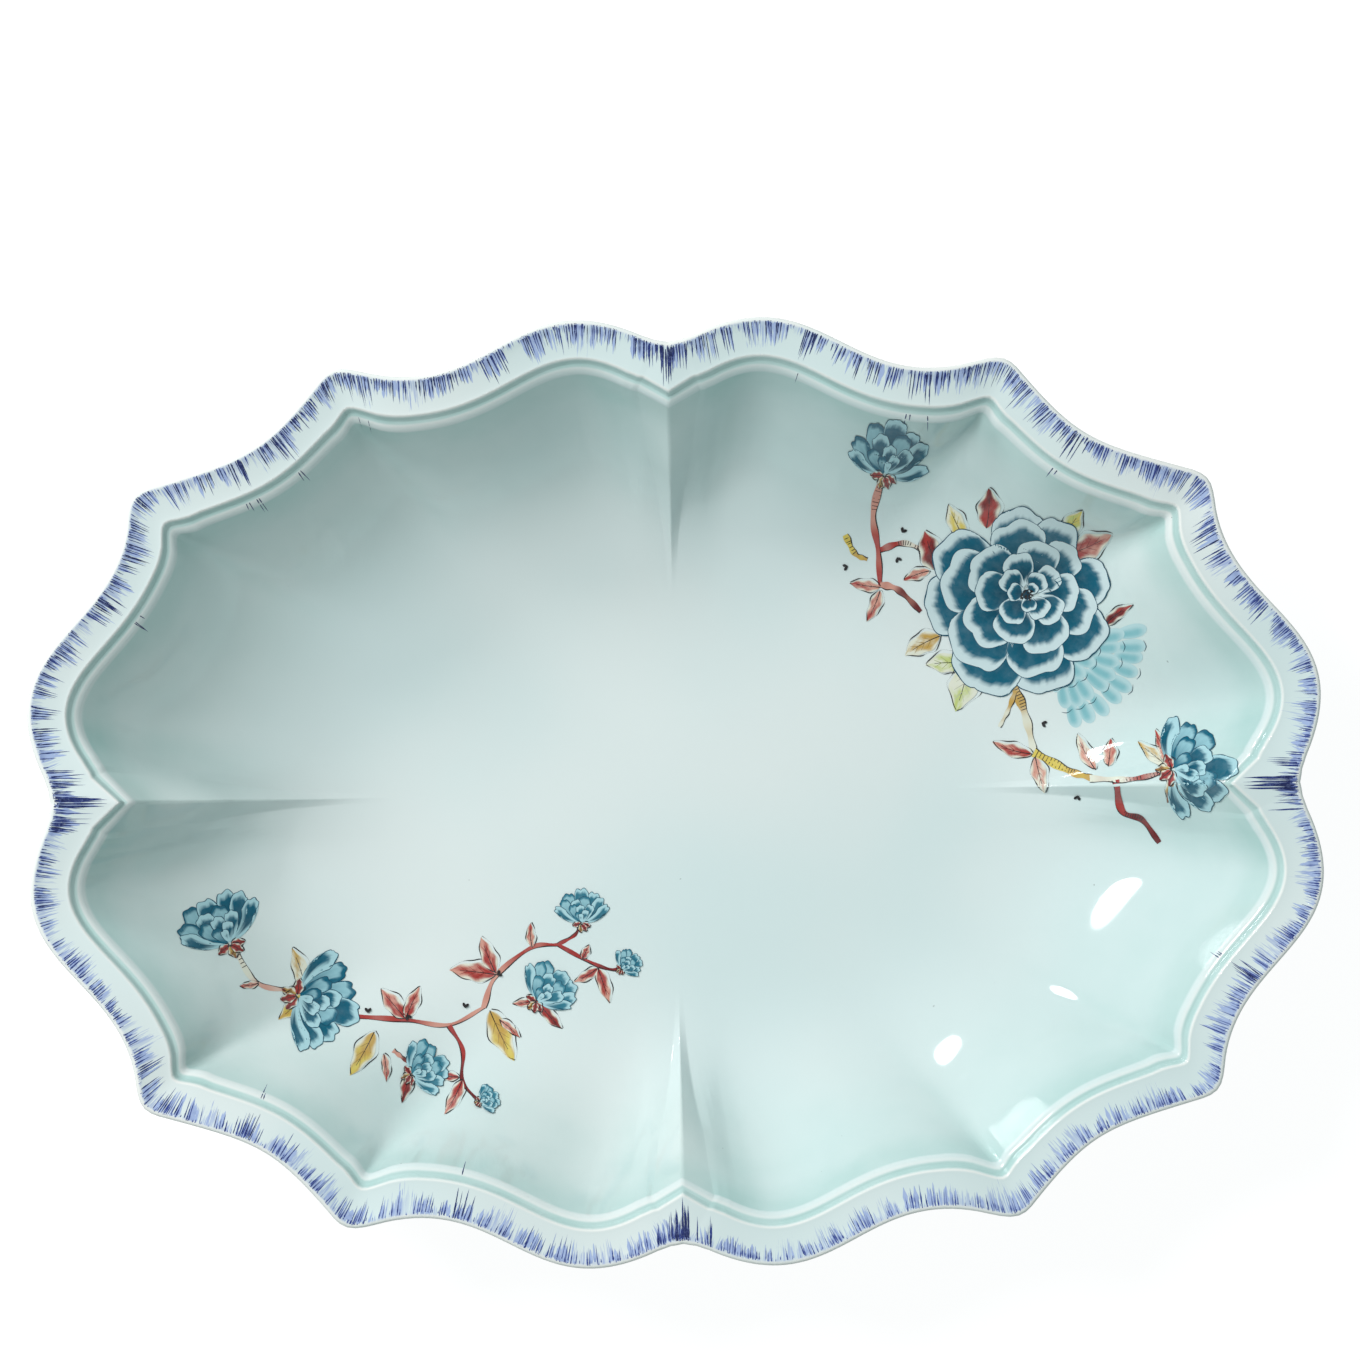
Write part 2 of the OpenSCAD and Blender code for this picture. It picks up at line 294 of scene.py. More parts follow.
def mesh_piece(name, verts, faces, material, attributes=(), normals=None, corner=None):
    """A mesh object in metres from millimetre points, riding on the root body."""
    me = bpy.data.meshes.new(name)
    me.from_pydata((np.asarray(verts) * MM).tolist(), [], faces)
    for key, values in dict(attributes).items():
        values = np.asarray(values, np.float32)
        kind = "FLOAT_COLOR" if values.ndim == 2 else "FLOAT"
        layer = me.attributes.new(key, kind, "POINT")
        if kind == "FLOAT_COLOR":
            rgba = np.ones((len(values), 4), np.float32)
            rgba[:, :3] = values
            layer.data.foreach_set("color", rgba.ravel())
        else:
            layer.data.foreach_set("value", values)
    if corner:
        for key, values in corner.items():
            layer = me.attributes.new(key, "FLOAT", "CORNER")
            layer.data.foreach_set("value", np.asarray(values, np.float32))
    me.polygons.foreach_set("use_smooth", [True] * len(me.polygons))
    me.materials.append(material)
    me.validate()
    if normals is not None:
        me.normals_split_custom_set_from_vertices(np.asarray(normals).tolist())
    me.update()
    ob = bpy.data.objects.new(name, me)
    bpy.context.scene.collection.objects.link(ob)
    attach(ob, "root")
    return ob


# ------------------------------------------------------------------- materials

def srgb(r, g, b):
    """Linear colour from 0-255 display values."""
    c = np.array([r, g, b]) / 255
    return tuple(np.where(c <= 0.04045, c / 12.92, ((c + 0.055) / 1.055) ** 2.4))


class Nodes:
    """Short calls for building a material's node tree."""

    def __init__(self, name):
        self.material = bpy.data.materials.new(name)
        self.material.use_nodes = True
        self.tree = self.material.node_tree
        self.shader = self.tree.nodes["Principled BSDF"]

    def node(self, kind, inputs=None, **settings):
        n = self.tree.nodes.new(kind)
        for key, value in settings.items():
            setattr(n, key, value)
        for key, value in (inputs or {}).items():
            self.feed(n.inputs[key], value)
        return n

    def feed(self, socket, value):
        if isinstance(value, bpy.types.NodeSocket):
            self.tree.links.new(value, socket)
        elif isinstance(value, tuple) and len(value) == 3 and socket.type == "RGBA":
            socket.default_value = (*value, 1)
        else:
            socket.default_value = value

    def math(self, operation, a, b=0.0, clamp=False):
        n = self.node("ShaderNodeMath", {0: a, 1: b}, operation=operation, use_clamp=clamp)
        return n.outputs[0]

    def mix(self, factor, a, b):
        n = self.node("ShaderNodeMix", data_type="RGBA")
        self.feed(n.inputs["Factor"], factor)
        self.feed(n.inputs[6], a)
        self.feed(n.inputs[7], b)
        return n.outputs[2]

    def ramp(self, x, low, high, from_low=0.0, to=1.0):
        n = self.node(
            "ShaderNodeMapRange",
            {"Value": x, "From Min": low, "From Max": high, "To Min": from_low, "To Max": to},
            interpolation_type="SMOOTHSTEP",
        )
        return n.outputs[0]

    def attribute(self, name):
        return self.node("ShaderNodeAttribute", attribute_name=name)

    def noise(self, vector, scale, detail=3.0, roughness=0.5):
        n = self.node(
            "ShaderNodeTexNoise",
            {"Vector": vector, "Scale": scale, "Detail": detail, "Roughness": roughness},
        )
        return n.outputs["Fac"]

    def object_place(self):
        return self.node("ShaderNodeTexCoord").outputs["Object"]

    def combine(self, x, y, z=0.0):
        return self.node("ShaderNodeCombineXYZ", {0: x, 1: y, 2: z}).outputs[0]

    def bump(self, height, distance, strength=1.0):
        n = self.node("ShaderNodeBump", {"Height": height, "Distance": distance, "Strength": strength})
        self.feed(self.shader.inputs["Normal"], n.outputs[0])


CELADON = srgb(222, 229, 228)
CELADON_DEEP = srgb(166, 202, 198)
CELADON_PALE = srgb(238, 236, 232)
BARE = srgb(232, 226, 214)
GLAZE_IOR = 1.52
ENAMEL_IOR = 1.42


def glaze_colour(n):
    """Celadon: deeper where it pools, and on the walls also a painted teal shade for light bounced inside
    the bowl; cream where it thins over an edge.
    """
    place = n.object_place()
    cloud = n.noise(place, 9.0, 2.0)
    base = n.mix(n.ramp(cloud, 0.35, 0.7), CELADON, srgb(212, 226, 226))
    pool_and_shade = n.attribute("pool_and_shade").outputs["Fac"]
    pale = n.attribute("pale").outputs["Fac"]
    uneven = n.ramp(n.noise(place, 60.0, 3.0), 0.2, 0.8, 0.75, 1.15)
    pooled_and_shaded = n.mix(n.math("MULTIPLY", pool_and_shade, uneven, clamp=True), base, CELADON_DEEP)
    return n.mix(n.math("MULTIPLY", pale, uneven, clamp=True), pooled_and_shaded, CELADON_PALE)


def finish_glaze(n, colour):
    """Gloss with faint smears and a slow ripple, over this colour."""
    place = n.object_place()
    n.feed(n.shader.inputs["Base Color"], colour)
    smear = n.ramp(n.noise(place, 35.0, 4.0), 0.3, 0.8, 0.045, 0.10)
    n.feed(n.shader.inputs["Roughness"], smear)
    n.shader.inputs["IOR"].default_value = GLAZE_IOR
    ripple = n.noise(place, 16.0, 2.0, 0.4)
    n.bump(ripple, 0.0009, 0.35)
    return n.material


def celadon_material():
    n = Nodes("celadon_glaze")
    colour = glaze_colour(n)
    specks = n.ramp(n.noise(n.object_place(), 420.0, 1.0), 0.83, 0.86)
    colour = n.mix(n.math("MULTIPLY", specks, 0.5), colour, srgb(96, 110, 108))
    return finish_glaze(n, colour)


def rim_material():
    """Glazed band with a cobalt wash brushed in from the lip."""
    n = Nodes("painted_rim_glaze")
    colour = glaze_colour(n)
    along = n.attribute("along").outputs["Fac"]
    inset = n.attribute("inset").outputs["Fac"]
    patches = n.noise(n.combine(n.math("MULTIPLY", along, 0.07), 0.0), 1.0, 2.0)
    clumps = n.noise(n.combine(n.math("MULTIPLY", along, 0.35), 3.0), 1.0, 2.0)
    hairs = n.noise(
        n.combine(n.math("MULTIPLY", along, 1.9), n.math("MULTIPLY", inset, 0.10)), 1.0, 2.0, 0.7
    )
    longest = n.ramp(patches, 0.36, 0.66, 3.0, 11.0)
    reach = n.math("MULTIPLY", longest, n.ramp(hairs, 0.3, 0.72, 0.25, 1.15))
    inside = n.ramp(n.math("SUBTRACT", reach, inset), -0.4, 1.6)
    body = n.ramp(clumps, 0.34, 0.62, 0.25, 1.0)
    gaps = n.ramp(hairs, 0.40, 0.56, 0.35, 1.0)
    start = n.ramp(inset, 0.9, 1.7)
    wash = n.math("MULTIPLY", n.math("MULTIPLY", inside, body), n.math("MULTIPLY", gaps, start))
    wash = n.math("MULTIPLY", wash, 0.75)
    return finish_glaze(n, n.mix(wash, colour, srgb(128, 148, 208)))


def print_material(name):
    """Fired enamel: the print's own colours, watery as a brushed ink is."""
    n = Nodes(name)
    place = n.object_place()
    ink = n.attribute("ink").outputs["Color"]
    water = n.ramp(n.noise(place, 260.0, 4.0, 0.6), 0.35, 0.8, 0.0, 0.07)
    colour = n.mix(water, ink, srgb(206, 222, 226))
    n.feed(n.shader.inputs["Base Color"], colour)
    n.feed(n.shader.inputs["Roughness"], n.ramp(n.noise(place, 90.0), 0.3, 0.8, 0.07, 0.14))
    n.shader.inputs["IOR"].default_value = ENAMEL_IOR
    n.bump(n.noise(place, 500.0, 2.0), 0.00004, 0.4)
    return n.material


def foot_material():
    """Glaze that stops just above the bare, slightly sandy resting edge."""
    n = Nodes("foot_glaze_and_bare_edge")
    place = n.object_place()
    height = n.node("ShaderNodeSeparateXYZ", {0: place}).outputs[2]
    ragged = n.math("ADD", height, n.math("MULTIPLY", n.noise(place, 120.0, 3.0), 0.0012))
    glazed = n.ramp(ragged, 0.0019, 0.0022)
    grain = n.noise(place, 900.0, 4.0)
    bare = n.mix(n.ramp(grain, 0.3, 0.7), BARE, srgb(214, 206, 190))
    n.feed(n.shader.inputs["Base Color"], n.mix(glazed, bare, srgb(208, 226, 222)))
    n.feed(n.shader.inputs["Roughness"], n.math("SUBTRACT", 0.75, n.math("MULTIPLY", glazed, 0.67)))
    n.bump(grain, 0.00006, 0.5)
    return n.material


# ------------------------------------------------------------------ bowl pieces

def bowl_attributes(rings, facts):
    """Where the glaze pools and where it thins, for every point of the grid; the walls also take a painted
    teal shade for light bounced inside the bowl.
    """
    d = np.array([f[1] for f in facts])[:, None]
    r = np.array([f[2] for f in facts])[:, None]
    inside = np.array([f[0] == "inside" for f in facts])[:, None]
    rim = np.array([f[0] == "rim" for f in facts])[:, None]
    u = GRID_U[None, :]
    shoulder = np.exp(-((d - BAND + 0.1) / 0.4) ** 2) * rim
    bead = np.exp(-((d - BEAD + 1.3) / 0.7) ** 2) * rim
    lip = smooth(1.9, 1.1, d) * rim
    ridge = np.exp(-(from_pleat(u) / 0.012) ** 2) * smooth(0.7, 0.97, r) * inside
    pale = np.clip(0.7 * shoulder + 0.3 * bead + 0.7 * lip + 0.15 * ridge, 0, 1)
    groove = smooth(BAND, BAND + 0.8, d) * smooth(BEAD - 1.4, BEAD - 2.2, d) * rim
    under_bead = smooth(0.93, 0.995, r) * inside * 0.35
    # Deeper teal on the walls: partly thicker glaze, partly painted shade standing in for teal light
    # bounced inside the bowl.
    wall_pool_and_shade = smooth(0.6, 0.95, r) * inside * 0.28
    crease = np.exp(-(from_tip(u) / 0.05) ** 2) * smooth(0.6, 1, r) * inside * 0.15
    beside = np.exp(-((from_pleat(u) - 0.1) / 0.08) ** 2) * smooth(0.55, 1, r) * inside * 0.2
    pool_and_shade = np.clip(0.75 * groove + under_bead + wall_pool_and_shade + crease + beside, 0, 1)
    return pale.ravel(), pool_and_shade.ravel()


def grid_faces(first, last, cols=COLS):
    """Quads between grid rows first and last, wound so that normals point out."""
    j = np.arange(first, last)[:, None] * cols
    i = np.arange(cols)[None, :]
    k = (i + 1) % cols
    quads = np.stack([j + i, j + cols + i, j + cols + k, j + k], -1)
    return quads.reshape(-1, 4)


def take(faces, count):
    """The used points of a face list, and the faces renumbered to them."""
    used = np.unique(faces)
    new = np.full(count, -1)
    new[used] = np.arange(len(used))
    return used, new[faces]


def build_bowl():
    """The glazed body and the painted band; returns the surface for rays to hit."""
    rings, facts = bowl_rings()
    verts = rings.reshape(-1, 3)
    normals = grid_normals(rings).reshape(-1, 3)
    pale, pool_and_shade = bowl_attributes(rings, facts)
    rows = [i for i, f in enumerate(facts) if f[0] == "rim" and f[1] < GROOVE_OUT + 0.2]
    first, last = min(rows), max(rows)

    faces = np.concatenate([grid_faces(0, first), grid_faces(last, len(rings) - 1)])
    used, faces = take(faces, len(verts))
    centres = np.array([[0, 0, FLOOR_Z], [0, 0, FOOT_H]])
    n = len(used)
    back = {v: i for i, v in enumerate(used)}
    base = (len(rings) - 1) * COLS
    ends = [[back[i], back[(i + 1) % COLS], n] for i in range(COLS)]
    ends += [[back[base + (i + 1) % COLS], back[base + i], n + 1] for i in range(COLS)]
    bowl = mesh_piece(
        "bowl_glaze", np.concatenate([verts[used], centres]), faces.tolist() + ends,
        celadon_material(),
        {"pale": np.append(pale[used], [0, 0]), "pool_and_shade": np.append(pool_and_shade[used], [0, 0])},
        np.concatenate([normals[used], [[0, 0, 1], [0, 0, -1]]]),
    )
    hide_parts("bowl_body")

    lip = on_grid(LIP)
    lengths = np.linalg.norm(np.roll(lip, -1, axis=0) - lip, axis=1)
    along = np.concatenate([[0], np.cumsum(lengths)])
    band_faces = grid_faces(first, last)
    columns = np.tile(np.arange(COLS), last - first)
    corner_along = along[columns[:, None] + np.array([0, 0, 1, 1])]
    depth = np.array([f[1] for f in facts])
    corner_inset = depth[band_faces // COLS]
    used, band = take(band_faces, len(verts))
    rim = mesh_piece(
        "painted_rim_band", verts[used], band.tolist(), rim_material(),
        {"pale": pale[used], "pool_and_shade": pool_and_shade[used]}, normals[used],
        {"along": corner_along.ravel(), "inset": corner_inset.ravel()},
    )
    return BVHTree.FromPolygons(verts.tolist(), grid_faces(0, len(rings) - 1).tolist())


FOOT_COLS = 240


def build_foot():
    """Oval foot ring with a rounded resting edge, a little spread at the root."""
    low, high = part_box("foot_ring")
    half = np.array([high.x - low.x, high.y - low.y]) / 2 / MM
    section = rounded(np.array([
        [0.0, 6.0], [0.0, 3.5], [0.9, 1.2], [1.4, 0.0], [2.2, 0.0], [3.4, 0.0],
        [3.9, 1.0], [4.6, 3.0], [5.0, 6.0],
    ]), 2)
    turn = np.linspace(0, 2 * pi, FOOT_COLS, endpoint=False)
    rings = [
        np.column_stack([(half[0] - s) * np.cos(turn), (half[1] - s) * np.sin(turn), np.full(FOOT_COLS, z)])
        for s, z in section
    ]
    faces = grid_faces(0, len(rings) - 1, FOOT_COLS).tolist()
    foot = mesh_piece("foot_ring_glazed", np.concatenate(rings), faces, foot_material())
    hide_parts("foot_ring")


# ------------------------------------------------------------ printed transfers

OUTLINE = srgb(16, 58, 80)
TEAL_DARK = srgb(0, 50, 70)
TEAL = srgb(10, 92, 116)
SKY = srgb(84, 154, 172)
MIST = srgb(168, 206, 214)
PETAL_PALE = srgb(200, 217, 220)
RED = srgb(164, 54, 50)
RED_DARK = srgb(104, 32, 34)
ROSE = srgb(208, 150, 134)
OCHRE = srgb(192, 154, 80)
YELLOW = srgb(214, 192, 92)
OLIVE = srgb(190, 200, 120)
INK = srgb(40, 34, 36)
WASH = srgb(222, 222, 206)


class Print:
    """Collects flat painted patches and lays them on the inside of the bowl."""

    def __init__(self):
        self.points, self.colours, self.heights, self.faces = [], [], [], []
        self.count = 0
        self.layer = 0

    def patch(self, grid, colours, lift=0):
        rows, cols = grid.shape[:2]
        i = np.arange(rows - 1)[:, None] * cols + np.arange(cols - 1)[None, :] + self.count
        quads = np.stack([i, i + 1, i + cols + 1, i + cols], -1).reshape(-1, 4)
        self.points.append(grid.reshape(-1, 2))
        self.colours.append(np.broadcast_to(colours, (rows, cols, 3)).reshape(-1, 3))
        self.heights.append(np.full(rows * cols, 0.05 + 0.0028 * (self.layer + lift)))
        self.faces.append(quads)
        self.count += rows * cols

    def stroke(self, path, widths, colours, lift=0.5):
        """A ribbon along a path, with a width and a colour at each point."""
        path = np.asarray(path, float)
        widths = np.broadcast_to(np.asarray(widths, float), len(path))
        run = np.gradient(path, axis=0)
        side = np.column_stack([-run[:, 1], run[:, 0]])
        side /= np.maximum(1e-9, np.linalg.norm(side, axis=1, keepdims=True))
        grid = np.stack([path + side * widths[:, None] * k for k in (-0.5, 0, 0.5)], 1)
        colours = np.asarray(colours, float)
        if colours.ndim == 2:
            colours = colours[:, None, :]
        self.patch(grid, colours, lift)

    def lay(self, name, tree, material):
        """The patches as one mesh piece, each point lifted along the surface's normal."""
        points = np.concatenate(self.points)
        heights = np.concatenate(self.heights)
        faces = np.concatenate(self.faces)

        def surface(x, y):
            hit = tree.ray_cast(Vector((float(x), float(y), ABOVE)), DOWN)[0]
            return hit.z if hit else FLOOR_Z

        z = np.array([surface(x, y) for x, y in points])
        step = 0.9
        slope_x = np.array([surface(x + step, y) - surface(x - step, y) for x, y in points])
        slope_y = np.array([surface(x, y + step) - surface(x, y - step) for x, y in points])
        normals = np.column_stack([-slope_x, -slope_y, np.full(len(z), 2 * step)])
        normals /= np.linalg.norm(normals, axis=1, keepdims=True)
        verts = np.column_stack([points, z]) + normals * heights[:, None]
        corners = points[faces]
        diagonal = corners[:, 2] - corners[:, 0]
        area = cross2(corners[:, 1] - corners[:, 0], diagonal)
        area = area + cross2(diagonal, corners[:, 3] - corners[:, 0])
        faces = np.where((area < 0)[:, None], faces[:, ::-1], faces)
        return mesh_piece(
            name, verts, faces.tolist(), material,
            {"ink": np.concatenate(self.colours)}, normals,
        )


def blend(t, a, b):
    t = np.asarray(t)[..., None]
    return (1 - t) * np.array(a) + t * np.array(b)


def polar(centre, turn, reach):
    return np.array(centre) + reach * np.array([cos(radians(turn)), sin(radians(turn))])


def curve(points, count):
    """A smooth path through a few points."""
    p = np.asarray(points, float)
    if len(p) == 2:
        return p[0] + np.linspace(0, 1, count)[:, None] * (p[1] - p[0])
    ext = np.concatenate([[2 * p[0] - p[1]], p, [2 * p[-1] - p[-2]]])
    t = np.linspace(0, len(p) - 1, count)
    k = np.minimum(t.astype(int), len(p) - 2)
    f = (t - k)[:, None]
    a, b, c, d = ext[k], ext[k + 1], ext[k + 2], ext[k + 3]
    bend = (2 * a - 5 * b + 4 * c - d) * f ** 2
    twist = (3 * b - a - 3 * c + d) * f ** 3
    return 0.5 * (2 * b + (c - a) * f + bend + twist)


def petal(ink, base, turn, length, spread, margin=3.2, line=0.34, dark=TEAL_DARK, mid=TEAL,
          pale=PETAL_PALE, curl=0.0, lobes=2.5, one_side=0.0, fine=(33, 24)):
    """A broad fan-shaped petal: teal inside, a pale feathered margin, a lobed outline."""
    across, rows = fine
    a = np.linspace(-1, 1, across)
    b = 1 - np.linspace(1, 0, rows) ** 1.3
    A, B = np.meshgrid(a, b)
    phase = rng.uniform(0, 2 * pi, 4)
    scallop = np.abs(np.sin(lobes * A + phase[0])) ** 0.6 + 0.35 * np.sin(9 * A + phase[1])
    reach = length * B * (1 - 0.12 * A ** 2 - 0.20 * np.abs(A) ** 5 + 0.05 * (scallop - 0.5) * B)
    angle = np.radians(turn + A * spread * (1 - 0.30 * B ** 2) + curl * B * B)
    grid = np.stack([base[0] + reach * np.cos(angle), base[1] + reach * np.sin(angle)], -1)
    hairs = np.sin(13 * A + phase[2]) + 0.6 * np.sin(37 * A + phase[3]) + 0.5 * np.sin(71 * A + 9 * B)
    to_tip = reach / np.maximum(B, 0.02) * (1 - B)
    to_side = (1 - np.abs(A)) * reach * radians(spread) * 1.1
    gap = np.minimum(to_tip, to_side + 0.4 * margin) + 0.11 * margin * hairs * np.sqrt(B)
    gap = gap + one_side * margin * A
    paint = blend(smooth(0.95, 0.25, B) * 0.7 + 0.15 * hairs * 0.3, mid, dark)
    paint = paint + smooth(1.45, 0.75, gap / margin)[..., None] * (np.array(pale) - paint)
    ink.patch(grid, np.clip(paint, 0, 1))
    if line:
        low = int(0.4 * rows)
        rim = np.concatenate([grid[low:-1, 0], grid[-1], grid[-2:low - 1:-1, -1]])
        n = len(rim)
        t = np.linspace(0, 1, n)
        press = 0.5 + 0.5 * np.sin(8 * t + phase[1]) ** 2 * np.sin(23 * t + phase[2]) ** 2
        fade = smooth(0, 0.1, t) * smooth(1, 0.9, t)
        ink.stroke(rim, line * press * fade, blend(press * 0.4, OUTLINE, TEAL), 0.6)
    ink.layer += 1


def leaf(ink, base, turn, length, width, body=RED, tip=ROSE, vein=INK, bend=0.0):
    """A pointed leaf: a soft fill set loosely inside a thin broken outline, and a vein."""
    b = np.linspace(0, 1, 18)
    a = np.linspace(-1, 1, 11)
    angles = np.radians(turn + bend * (b - 0.3))
    steps = np.stack([np.cos(angles), np.sin(angles)], 1) * length / 17
    spine = np.array(base) + np.concatenate([[[0, 0]], np.cumsum(steps, 0)[:-1]])
    side = np.stack([-np.sin(angles), np.cos(angles)], 1)
    half = width / 2 * np.sin(pi * b ** 0.8) ** 0.85 * (1 + 0.10 * np.sin(13 * b + base[0]))
    grid = spine[:, None] + side[:, None] * (half[:, None] * a[None, :])[..., None]
    A, B = np.meshgrid(a, b)
    mottle = 0.25 * np.sin(9 * B + 4 * A + base[1]) + 0.15 * np.sin(21 * B - 9 * A)
    paint = blend(smooth(0.25, 1.0, B + mottle), body, tip)
    strength = smooth(1.0, 0.55, np.abs(A) * (1 + 0.2 * np.sin(17 * B + base[0])))
    ink.patch(grid, np.array(WASH) + strength[..., None] * (paint - np.array(WASH)))
    ink.stroke(spine[:14], 0.34 * (1 - b[:14] * 0.7), vein, 0.5)
    for row in (4, 7, 10):
        for k in (-1, 1):
            end = spine[row + 3] + side[row + 3] * half[row + 3] * k * 0.6
            ink.stroke([spine[row], end], [0.24, 0.1], blend(0.4, body, vein), 0.55)
    drift = polar((0, 0), 40, 0.035 * length)
    for k in (-1, 1):
        line = spine + side * (half * k * 1.2 + 0.12 * k)[:, None] + drift
        press = 0.28 * np.clip(0.55 + np.sin(9 * b + k * 2 + base[1]), 0.12, 1.2)
        ink.stroke(line, press, vein, 0.6)
    ink.layer += 1


def twig(ink, points, width, start, end, hatch=(0, 0), outline=1):
    """A tapering twig with a dark line on one side and short bark ticks."""
    n = 6 * len(points) + 6
    path = curve(points, n)
    t = np.linspace(0, 1, n)
    wobble = 1 + 0.22 * np.sin(19 * t + points[0][0])
    widths = width * (1.15 - 0.4 * t) * wobble
    ink.stroke(path, widths, blend(smooth(0.1, 0.9, t + 0.2 * np.sin(14 * t)), start, end), 0)
    run = np.gradient(path, axis=0)
    side = np.column_stack([-run[:, 1], run[:, 0]]) / np.linalg.norm(run, axis=1, keepdims=True)
    if outline:
        line = path + side * (widths * 0.5 * outline)[:, None]
        ink.stroke(line, 0.14 + 0.24 * np.sin(8 * t + points[0][1]) ** 2, INK, 0.6)
    length = np.linalg.norm(np.diff(path, axis=0), axis=1).sum()
    for s in np.arange(hatch[0], hatch[1], 0.9 / max(1.0, length)):
        k = min(n - 1, int(s * (n - 1)))
        across = side[k] * widths[k]
        ink.stroke([path[k] - across * 0.35, path[k] + across * 0.45], 0.26, INK, 0.8)
    ink.layer += 1


def bird_tick(ink, place, turn):
    """A tiny black forked mark."""
    for offset in (-34, 28):
        ink.stroke(curve([place, polar(place, turn + offset, 1.7)], 5), [0.3, 0.6, 0.95, 0.9, 0.3], INK, 1)


# Petals of a side flower from the back to the front: lean, reach, half spread
CUP_PETALS = [
    (-0.55, 0.95, 23), (0.5, 0.93, 23), (-0.05, 0.98, 25), (-0.88, 0.9, 19), (0.84, 0.88, 19),
    (-1.22, 0.86, 16), (1.18, 0.84, 16), (-0.32, 0.74, 27), (0.28, 0.7, 27), (-0.66, 0.6, 26),
    (0.62, 0.56, 26), (-0.02, 0.52, 30), (-0.38, 0.38, 32), (0.34, 0.34, 32), (-0.05, 0.24, 36),
]


def side_flower(ink, base, turn, size, opening=58, soft=0.0, calyx=RED):
    """A cup of ruffled petals seen from the side, on a small sepal cluster."""
    dark = blend(soft, TEAL_DARK, TEAL)
    mid = blend(soft, TEAL, SKY)
    filled = {"dark": dark, "mid": mid, "pale": MIST, "margin": size * 0.10}
    edged = {"dark": mid, "mid": blend(0.35, MIST, SKY), "pale": mid, "margin": size * 0.07}
    for k, (lean, reach, spread) in enumerate(CUP_PETALS):
        look = edged if k % 3 == 1 else filled
        lean = lean * opening + rng.uniform(-6, 6)
        length = size * reach * rng.uniform(0.9, 1.04)
        petal(ink, polar(base, turn + lean, size * 0.04), turn + lean, length, spread,
              line=0.14 + 0.012 * size, curl=-0.25 * lean * reach, lobes=rng.uniform(2.0, 3.4),
              one_side=rng.uniform(-0.7, 0.7), fine=(23, 17), **look)
    for lean, tint in [(-112, calyx), (100, calyx), (172, OCHRE), (-150, calyx)]:
        start = polar(base, turn + lean, size * 0.02)
        leaf(ink, start, turn + lean, size * 0.26, size * 0.15, tint, RED_DARK)


PEONY_RINGS = [
    # petals, tip radius, base radius, half spread, pale margin
    (8, 29.6, 7.0, 50, 2.9),
    (6, 25.0, 5.5, 56, 2.8),
    (5, 19.5, 4.0, 62, 2.6),
    (5, 14.2, 2.6, 60, 2.2),
    (4, 9.4, 1.4, 62, 1.7),
    (3, 5.4, 0.5, 66, 1.1),
]


def peony(ink, heart):
    """A full peony from the front: rings of broad lobed petals closing on a dark eye."""
    for level, (count, tip, inset, spread, margin) in enumerate(PEONY_RINGS):
        turns = np.arange(count) * 360 / count + level * 31 + 12
        for turn in rng.permutation(turns):
            turn = turn + rng.uniform(-6, 6)
            away = cos(radians(turn + 146))
            reach = tip * (1 + 0.15 * away) * rng.uniform(0.96, 1.03) - inset
            petal(ink, polar(heart, turn, inset), turn, reach, spread * rng.uniform(0.9, 1.1),
                  margin=margin * rng.uniform(0.85, 1.1), line=0.5 if level == 0 else 0.3,
                  lobes=rng.uniform(2.2, 4.2), one_side=rng.uniform(-0.35, 0.35))
    petal(ink, polar(heart, 200, 1.5), 20, 3.0, 80, margin=0.3, line=0.0, mid=TEAL_DARK)
    for _ in range(26):
        spot = polar(heart, rng.uniform(0, 360), rng.uniform(0, 1.9))
        ink.stroke(curve([spot, polar(spot, rng.uniform(0, 360), 0.8)], 3), [0.3, 0.62, 0.2], INK, 1)


def pale_fan(ink, centre, turn):
    """Rows of soft pale-blue petals spread behind the peony, with a few broken outlines."""
    blue, faded = srgb(128, 184, 192), srgb(182, 212, 216)
    for reach, count, size, arc in [(18.5, 9, 9.5, 44), (11.5, 8, 10, 46), (4, 6, 10, 50)]:
        for lean in np.linspace(-arc, arc, count) + 0.4 * reach:
            lean = lean + rng.uniform(-2, 2)
            base = polar(centre, turn + lean, reach)
            dab(ink, base, turn + lean, size * rng.uniform(0.85, 1.1), 4.7, blue, faded)
            end = polar(base, turn + lean, size)
            if rng.random() < 0.6:
                arch = [
                    polar(end, turn + lean + aside, out)
                    for aside, out in [(110, 2.0), (0, 0.2), (-100, 1.8)]
                ]
                press = 0.2 * np.sin(np.linspace(0.1, 3, 9)) + 0.04
                ink.stroke(curve(arch, 9), press, OUTLINE, 1)


def dab(ink, base, turn, length, width, core, edge):
    """One soft oval brush dab, darkest along its middle."""
    b = (1 - np.cos(np.linspace(0, pi, 15))) / 2
    a = np.linspace(-1, 1, 9)
    spine = np.array(base) + b[:, None] * (polar(base, turn, length) - np.array(base))
    side = polar((0, 0), turn + 90, 1)
    half = width / 2 * np.sqrt(np.clip(1 - (2 * b - 1) ** 2, 0, 1)) * (0.75 + 0.4 * b)
    grid = spine[:, None] + half[:, None, None] * a[None, :, None] * side
    A, B = np.meshgrid(a, b)
    strength = smooth(1.0, 0.1, np.abs(A + 0.25)) * smooth(0, 0.3, B) * smooth(1.0, 0.7, B)
    ink.patch(grid, blend(strength, edge, core))
    ink.layer += 1


